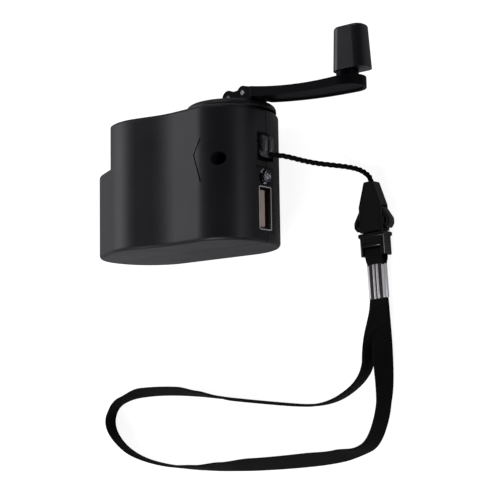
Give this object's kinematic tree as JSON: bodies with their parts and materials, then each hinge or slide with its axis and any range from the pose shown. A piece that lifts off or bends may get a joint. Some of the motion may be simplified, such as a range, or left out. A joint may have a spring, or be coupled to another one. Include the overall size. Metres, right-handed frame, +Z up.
{
  "type": "hand crank phone charger",
  "caption": "Palm-sized crank generator: rounded case, folding crank arm with spinning knob, USB socket and lamp in one end, and a webbing wrist strap on a quick-release buckle.",
  "frame": {"origin": "middle of the flat rear face that it lies on, half way along the length and height of the case", "axes": "+X towards the end with the USB socket, +Y along the crank axis away from the case, +Z up out of the front face"},
  "size_m": [0.1222, 0.1264, 0.038],
  "materials": {
    "case_plastic": "fine satin texture, moulded black ABS",
    "crank_plastic": "smooth satin moulded black",
    "buckle_plastic": "glossy moulded black acetal",
    "bright_steel": "bright turned pin",
    "zinc_screw": "dull zinc plating",
    "socket_metal": "nickel-plated pressed sheet",
    "socket_insulator": "moulded beige insulator",
    "contact_gold": "gold flash",
    "lamp_lens": "clear epoxy",
    "gear_nylon": "natural nylon",
    "plate_plastic": "dark grey moulded",
    "brass_part": "turned brass",
    "motor_can": "zinc-plated drawn steel",
    "motor_cap": "black moulded",
    "magnet_grey": "sintered ferrite",
    "lamination_steel": "stacked laminations",
    "copper_wire": "enamelled copper",
    "board_green": "solder-masked glass fibre",
    "chip_black": "moulded epoxy",
    "can_aluminium": "sleeved aluminium can",
    "lead_black": "vinyl insulation",
    "lead_red": "vinyl insulation",
    "cord_black": "braided cord",
    "webbing_black": "ribbed woven webbing",
    "crimp_chrome": "polished pressed steel"
  },
  "bodies": {
    "case": {"front_shell": "case_plastic", "rear_shell": "case_plastic", "case_screw": "zinc_screw", "lanyard_bar": "bright_steel", "shaft_bush": "brass_part", "gearbox_plate_upper": "plate_plastic", "gearbox_plate_lower": "plate_plastic", "gearbox_posts": "plate_plastic", "gearbox_screws": "zinc_screw", "generator_screws": "zinc_screw", "idler_axles": "bright_steel", "generator_can": "motor_can", "generator_bearing": "brass_part", "generator_magnets": "magnet_grey", "generator_end_cap": "motor_cap", "generator_terminals": "brass_part", "generator_brushes": "magnet_grey", "circuit_board": "board_green", "board_screws": "zinc_screw", "usb_shell": "socket_metal", "usb_tongue": "socket_insulator", "usb_contacts": "contact_gold", "charge_lamp": "lamp_lens", "lamp_leads": "bright_steel", "storage_capacitor": "can_aluminium", "regulator_chip": "chip_black", "rectifier_diodes": "chip_black", "generator_lead_black": "lead_black", "generator_lead_red": "lead_red", "cord_hitch": "cord_black", "lanyard_cord": "cord_black", "buckle_socket": "buckle_plastic", "buckle_insert": "buckle_plastic", "webbing_tab": "webbing_black", "webbing_crimp": "crimp_chrome", "wrist_strap": "webbing_black"},
    "crank": {"crank_hub": "crank_plastic", "crank_shaft": "bright_steel", "shaft_clip": "bright_steel", "drive_gear": "gear_nylon", "fold_pin": "bright_steel"},
    "arm": {"crank_arm": "crank_plastic", "stop_pin": "bright_steel", "knob_post": "crank_plastic", "knob_screw": "zinc_screw"},
    "knob": {"knob": "crank_plastic", "knob_plug": "crank_plastic"},
    "idler_first": {"idler_gear_first": "gear_nylon"},
    "idler_second": {"idler_gear_second": "gear_nylon"},
    "rotor": {"rotor_shaft": "bright_steel", "rotor_core": "lamination_steel", "rotor_coils": "copper_wire", "rotor_commutator": "brass_part", "rotor_pinion": "brass_part"},
    "prong_left": {"buckle_prong_left": "buckle_plastic"},
    "prong_right": {"buckle_prong_right": "buckle_plastic"}
  },
  "joints": [
    {"name": "crank_turn", "type": "hinge", "parent": "case", "child": "crank", "pos_m": [0.0197, 0, 0.0194], "axis": [0, 1, 0], "continuous": true},
    {"name": "arm_fold", "type": "hinge", "parent": "crank", "child": "arm", "pos_m": [0.0216, 0.02475, 0.0194], "axis": [0, 0, 1], "range_deg": [0, 180]},
    {"name": "knob_spin", "type": "hinge", "parent": "arm", "child": "knob", "pos_m": [0.0638, 0.032, 0.0194], "axis": [0, 1, 0], "continuous": true},
    {"name": "first_idler_spin", "type": "hinge", "parent": "case", "child": "idler_first", "pos_m": [0.00765, 0, 0.0194], "axis": [0, 1, 0], "continuous": true},
    {"name": "second_idler_spin", "type": "hinge", "parent": "case", "child": "idler_second", "pos_m": [-0.0044, 0, 0.0194], "axis": [0, 1, 0], "continuous": true},
    {"name": "rotor_spin", "type": "hinge", "parent": "case", "child": "rotor", "pos_m": [-0.01645, 0, 0.0194], "axis": [0, 1, 0], "continuous": true},
    {"name": "prong_left_squeeze", "type": "hinge", "parent": "case", "child": "prong_left", "pos_m": [0.05708, -0.01852, 0.00245], "axis": [0, 0, -1], "range_deg": [0, 8], "stiffness_Nm_per_rad": 0.01},
    {"name": "prong_right_squeeze", "type": "hinge", "parent": "case", "child": "prong_right", "pos_m": [0.06278, -0.01824, 0.00245], "axis": [0, 0, 1], "range_deg": [0, 8], "stiffness_Nm_per_rad": 0.01}
  ],
  "couplings": [
    {"joint": "first_idler_spin", "follows": "crank_turn", "ratio": -3},
    {"joint": "second_idler_spin", "follows": "crank_turn", "ratio": 9},
    {"joint": "rotor_spin", "follows": "crank_turn", "ratio": -27}
  ]
}
